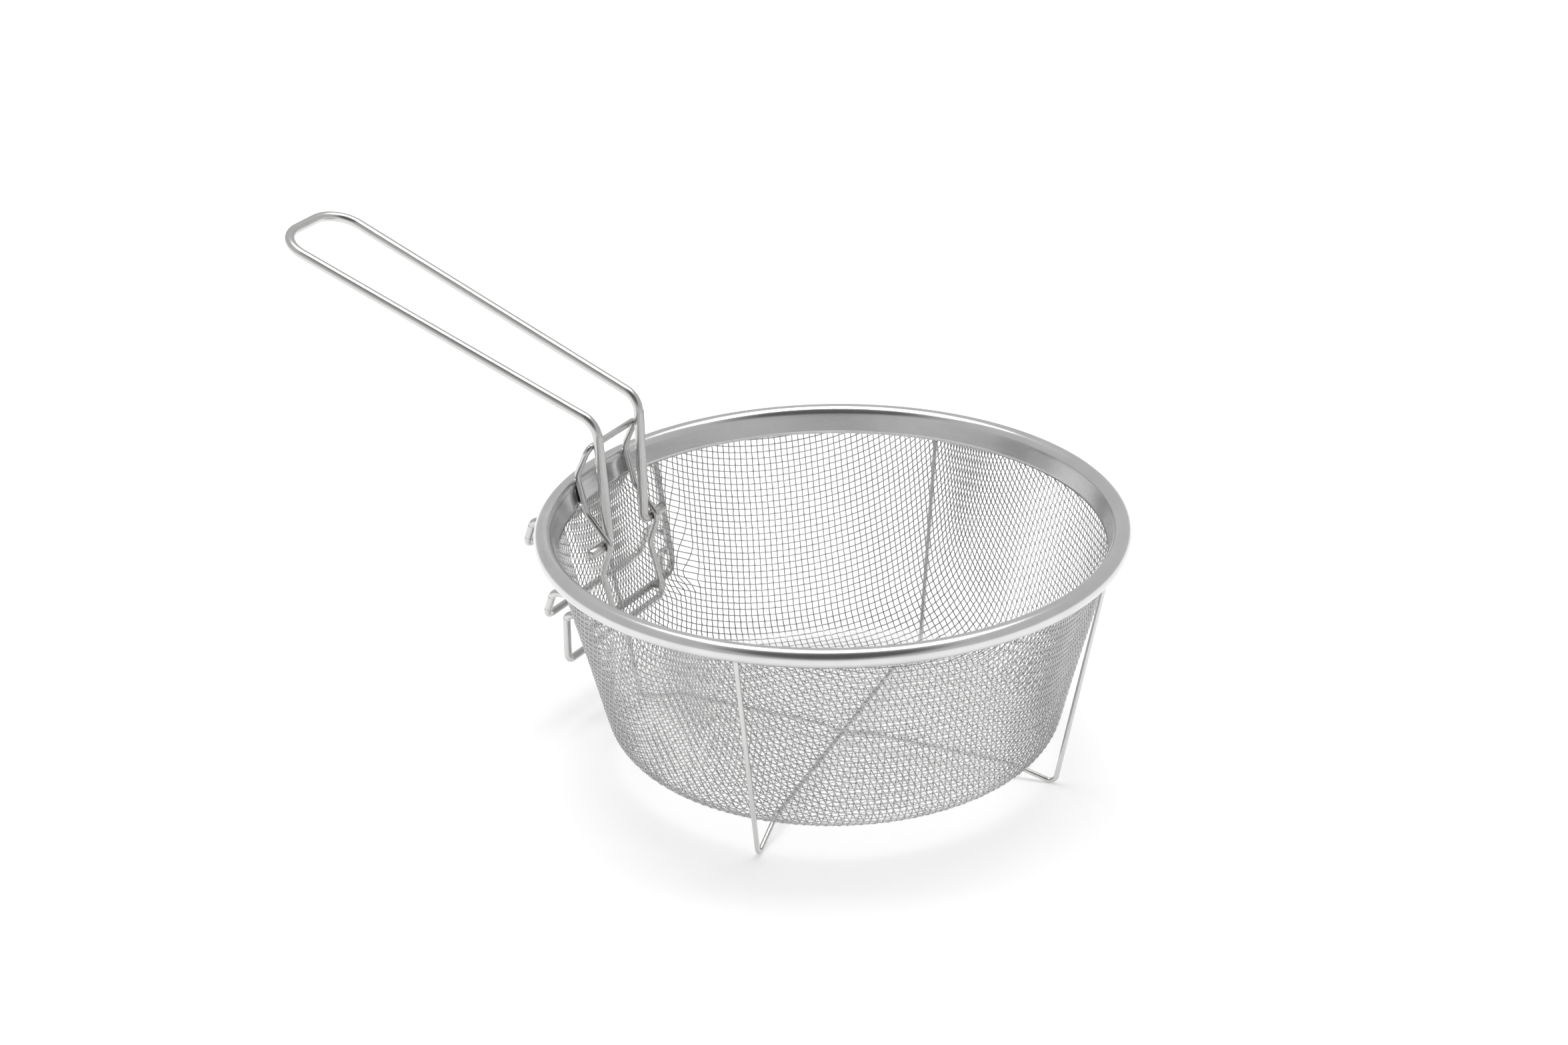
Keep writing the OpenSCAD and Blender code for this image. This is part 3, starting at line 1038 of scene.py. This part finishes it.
def drawn_steel_group() -> bpy.types.NodeTree:
    """Shared effect of drawn or rolled steel: streaks along the metal, a fine grain, and clouding.

    Returns:
        A group with inputs Across and Along (streaks per millimetre of UV) and Cloud size (clouds
        per metre), and outputs Streak (along the metal), Grain (by place, the same every way) and
        Cloud, each about 0 to 1.
    """
    tree = bpy.data.node_groups.new("drawn_steel", "ShaderNodeTree")
    for name, default in (("Across", 6.0), ("Along", 0.05), ("Cloud size", 60.0)):
        socket = tree.interface.new_socket(name=name, in_out="INPUT", socket_type="NodeSocketFloat")
        socket.default_value = default
    for name in ("Streak", "Grain", "Cloud"):
        tree.interface.new_socket(name=name, in_out="OUTPUT", socket_type="NodeSocketFloat")
    nodes, links = tree.nodes, tree.links
    start, end = nodes.new("NodeGroupInput"), nodes.new("NodeGroupOutput")

    def noise(output: str, vector: bpy.types.NodeSocket, detail: float) -> bpy.types.ShaderNode:
        """Adds a noise texture that feeds one of the group's outputs.

        Args:
            output: Name of the output.
            vector: Socket that gives the texture its place.
            detail: The texture's detail.

        Returns:
            The texture node, with its scale still to be set.
        """
        texture = nodes.new("ShaderNodeTexNoise")
        texture.inputs["Detail"].default_value = detail
        links.new(vector, texture.inputs["Vector"])
        links.new(texture.outputs["Fac"], end.inputs[output])
        return texture

    uv = nodes.new("ShaderNodeUVMap")
    uv.uv_map = LENGTH_UV
    scale = nodes.new("ShaderNodeCombineXYZ")
    links.new(start.outputs["Across"], scale.inputs["X"])
    links.new(start.outputs["Along"], scale.inputs["Y"])
    stretch = nodes.new("ShaderNodeVectorMath")
    stretch.operation = "MULTIPLY"
    links.new(uv.outputs["UV"], stretch.inputs[0])
    links.new(scale.outputs["Vector"], stretch.inputs[1])
    noise("Streak", stretch.outputs["Vector"], 4.0).inputs["Scale"].default_value = 1.0
    where = nodes.new("ShaderNodeTexCoord")
    noise("Grain", where.outputs["Object"], 4.0).inputs["Scale"].default_value = 1400.0
    cloud = noise("Cloud", where.outputs["Object"], 3.0)
    links.new(start.outputs["Cloud size"], cloud.inputs["Scale"])
    return tree


@dataclass(frozen=True)
class SteelFinish:
    """One finish of bare stainless steel: two colours, a roughness and its spread, and a relief."""

    name: str
    light: Point
    dark: Point
    rough: float
    rough_spread: float
    relief: float
    across: float
    along: float
    cloud: float = 60.0
    source: Grain = Grain.DRAWN
    grain_low: float = 0.25
    grain_high: float = 0.75
    grain_depth: float = 0.02

    def build(self, effect: bpy.types.NodeTree) -> bpy.types.Material:
        """Makes the material.

        Args:
            effect: The shared drawn-steel group.

        Returns:
            The material: clouding moves its colour, and its grain moves roughness and relief.
        """
        material = bpy.data.materials.new(self.name)
        material.use_nodes = True
        nodes, links = material.node_tree.nodes, material.node_tree.links
        steel = nodes["Principled BSDF"]
        steel.inputs["Metallic"].default_value = 1.0
        pattern = nodes.new("ShaderNodeGroup")
        pattern.node_tree = effect
        pattern.inputs["Across"].default_value = self.across
        pattern.inputs["Along"].default_value = self.along
        pattern.inputs["Cloud size"].default_value = self.cloud
        colour = nodes.new("ShaderNodeMix")
        colour.data_type = "RGBA"
        colour.inputs["A"].default_value = (*self.light, 1.0)
        colour.inputs["B"].default_value = (*self.dark, 1.0)
        links.new(pattern.outputs["Cloud"], colour.inputs["Factor"])
        links.new(colour.outputs["Result"], steel.inputs["Base Color"])
        rough = nodes.new("ShaderNodeMapRange")
        rough.inputs["From Min"].default_value = self.grain_low
        rough.inputs["From Max"].default_value = self.grain_high
        rough.inputs["To Min"].default_value = self.rough - self.rough_spread
        rough.inputs["To Max"].default_value = self.rough + self.rough_spread
        links.new(pattern.outputs[self.source.value], rough.inputs["Value"])
        links.new(rough.outputs["Result"], steel.inputs["Roughness"])
        bump = nodes.new("ShaderNodeBump")
        bump.inputs["Strength"].default_value = self.relief
        bump.inputs["Distance"].default_value = self.grain_depth * MM
        links.new(pattern.outputs[self.source.value], bump.inputs["Height"])
        links.new(bump.outputs["Normal"], steel.inputs["Normal"])
        return material


RIM_FINISH = SteelFinish("rolled_rim_steel", (0.76, 0.76, 0.76), (0.60, 0.60, 0.61),
                         rough=0.2, rough_spread=0.06, relief=0.5, across=3.0, along=0.03)
WIRE_FINISH = SteelFinish("drawn_handle_steel", (0.70, 0.69, 0.68), (0.56, 0.56, 0.56),
                          rough=0.24, rough_spread=0.07, relief=0.6, across=5.0, along=0.06)
THIN_FINISH = SteelFinish("drawn_support_steel", (0.72, 0.71, 0.70), (0.58, 0.58, 0.58),
                          rough=0.28, rough_spread=0.06, relief=0.4, across=5.0, along=0.1)
MESH_FINISH = SteelFinish("woven_mesh_steel", (0.63, 0.63, 0.63), (0.42, 0.42, 0.42),
                          rough=0.26, rough_spread=0.08, relief=0.3, across=4.0, along=0.4, cloud=120.0)
CORE_FINISH = SteelFinish("core_wire_steel", (0.66, 0.65, 0.64), (0.52, 0.52, 0.52),
                          rough=0.3, rough_spread=0.08, relief=0.5, across=5.0, along=0.1, cloud=90.0,
                          source=Grain.PITTED)
WELD_FINISH = SteelFinish("weld_steel", (0.58, 0.57, 0.55), (0.40, 0.39, 0.38),
                          rough=0.42, rough_spread=0.12, relief=0.9, across=5.0, along=0.1, cloud=300.0,
                          source=Grain.PITTED)


# --------------------------------------------------------------------------- surroundings


@dataclass
class Studio:
    """Camera, pale floor and soft light. Distances here are metres."""

    aim: Point = (0.0, 0.0, 0.0915)
    distance: float = 1.5
    elevation: float = math.radians(24.997)
    around: float = math.radians(121.0)
    yaw: float = math.radians(0.7506)
    pitch: float = math.radians(0.0829)
    roll: float = math.radians(1.042)
    lens: float = 93.58
    sensor: float = 36.0
    floor_half: float = 4.0
    floor_white: float = 0.93
    floor_glow: float = 0.31
    bright_sky: float = 0.62
    dim_sky: float = 0.12
    dim_elevation: float = math.radians(44.0)
    dim_cosines: Pair = (0.72, 0.93)
    panel_place: Point = (-0.25, -0.15, 1.7)
    panel_size: Pair = (1.6, 0.9)
    panel_watts: float = 17.0

    def camera(self) -> None:
        """Places the camera on its arc round the rim's centre, then turns it a little off centre."""
        e = self.elevation
        back = Vector((0.0, -math.cos(e), math.sin(e)))
        forward, right = -back, Vector((1.0, 0.0, 0.0))
        up = right.cross(forward)
        yaw = Matrix.Rotation(self.yaw, 3, Vector((0.0, 0.0, 1.0)))
        forward, right, up = yaw @ forward, yaw @ right, yaw @ up
        pitch = Matrix.Rotation(self.pitch, 3, right)
        forward, up = pitch @ forward, pitch @ up
        roll = Matrix.Rotation(self.roll, 3, forward)
        right, up = roll @ right, roll @ up
        turn = Matrix.Rotation(self.around, 3, "Z")
        right, up, forward = turn @ right, turn @ up, turn @ forward
        data = bpy.data.cameras.new("camera")
        data.lens, data.sensor_width = self.lens, self.sensor
        data.clip_start, data.clip_end = 0.05, 20.0
        camera = bpy.data.objects.new("camera", data)
        basis = Matrix((right, up, -forward)).transposed().to_4x4()
        camera.matrix_world = Matrix.Translation(Vector(self.aim) + turn @ (back * self.distance)) @ basis
        bpy.context.scene.collection.objects.link(camera)
        bpy.context.scene.camera = camera

    def floor(self) -> None:
        """A wide flat floor of matt white, a little lit from itself."""
        u = np.array([-self.floor_half, self.floor_half]) / MM
        p = np.array([[x, y, 0.0] for y in u for x in u])
        floor = write_mesh("floor", p, np.array([[0, 1, 3, 2]]), np.zeros((1, 4, 2)))
        material = bpy.data.materials.new("floor_white")
        material.use_nodes = True
        paper = material.node_tree.nodes["Principled BSDF"]
        paper.inputs["Base Color"].default_value = (*[self.floor_white] * 3, 1.0)
        paper.inputs["Roughness"].default_value = 0.9
        paper.inputs["Emission Color"].default_value = (1.0, 1.0, 1.0, 1.0)
        paper.inputs["Emission Strength"].default_value = self.floor_glow
        paper.inputs["Specular IOR Level"].default_value = 0.1
        floor.data.materials.append(material)

    def overhead_panel(self) -> None:
        """One soft light panel over the basket, turned towards it."""
        data = bpy.data.lights.new("overhead_panel", "AREA")
        data.shape, data.energy = "RECTANGLE", self.panel_watts
        data.size, data.size_y = self.panel_size
        light = bpy.data.objects.new("overhead_panel", data)
        way = (-Vector(self.panel_place)).to_track_quat("-Z", "Y")
        light.matrix_world = Matrix.Translation(self.panel_place) @ way.to_matrix().to_4x4()
        bpy.context.scene.collection.objects.link(light)

    def sky(self) -> None:
        """Even pale surroundings, with a dim patch high up on the camera's side.

        The strength eases from bright to dim with the cosine of the angle to the patch's middle.
        """
        world = bpy.data.worlds.new("studio")
        world.use_nodes = True
        nodes, links = world.node_tree.nodes, world.node_tree.links
        where = nodes.new("ShaderNodeTexCoord")
        dot = nodes.new("ShaderNodeVectorMath")
        dot.operation = "DOT_PRODUCT"
        a, e = self.around - math.pi / 2, self.dim_elevation
        dot.inputs[1].default_value = (math.cos(a) * math.cos(e), math.sin(a) * math.cos(e), math.sin(e))
        links.new(where.outputs["Generated"], dot.inputs[0])
        shade = nodes.new("ShaderNodeMapRange")
        shade.interpolation_type = "SMOOTHSTEP"
        shade.inputs["From Min"].default_value, shade.inputs["From Max"].default_value = self.dim_cosines
        shade.inputs["To Min"].default_value = self.bright_sky
        shade.inputs["To Max"].default_value = self.dim_sky
        links.new(dot.outputs["Value"], shade.inputs["Value"])
        light = nodes["Background"]
        links.new(shade.outputs["Result"], light.inputs["Strength"])
        light.inputs["Color"].default_value = (1.0, 1.0, 1.0, 1.0)
        bpy.context.scene.world = world

    def build(self) -> None:
        """Sets camera, floor, surroundings and light."""
        self.camera()
        self.floor()
        self.sky()
        self.overhead_panel()
        view = bpy.context.scene.view_settings
        view.view_transform, view.exposure = "Standard", 0.0


def main() -> None:
    """Builds the basket in order, then its surroundings."""
    effect = drawn_steel_group()
    finishes = (RIM_FINISH, WIRE_FINISH, THIN_FINISH, MESH_FINISH, CORE_FINISH, WELD_FINISH)
    rim, wire, thin, mesh, core, weld = (finish.build(effect) for finish in finishes)
    shape = BowlShape()
    scoops, panel = Scoops(shape), HookPanel(shape)
    WovenMesh(shape, scoops, panel, mesh).build()
    RimBand(shape, scoops, rim).build()
    handle = Handle(shape, wire)
    handle.build()
    HandleBracket(shape, panel, handle, wire).build()
    HookFrame(shape, panel, wire).build()
    SupportWires(shape, thin).build()
    dress_kept_node("rim_core_wire", core)
    dress_kept_node("bracket_welds", weld)
    Studio().build()


if __name__ == "__main__":
    logging.basicConfig(level=logging.INFO, format="%(message)s")
    main()
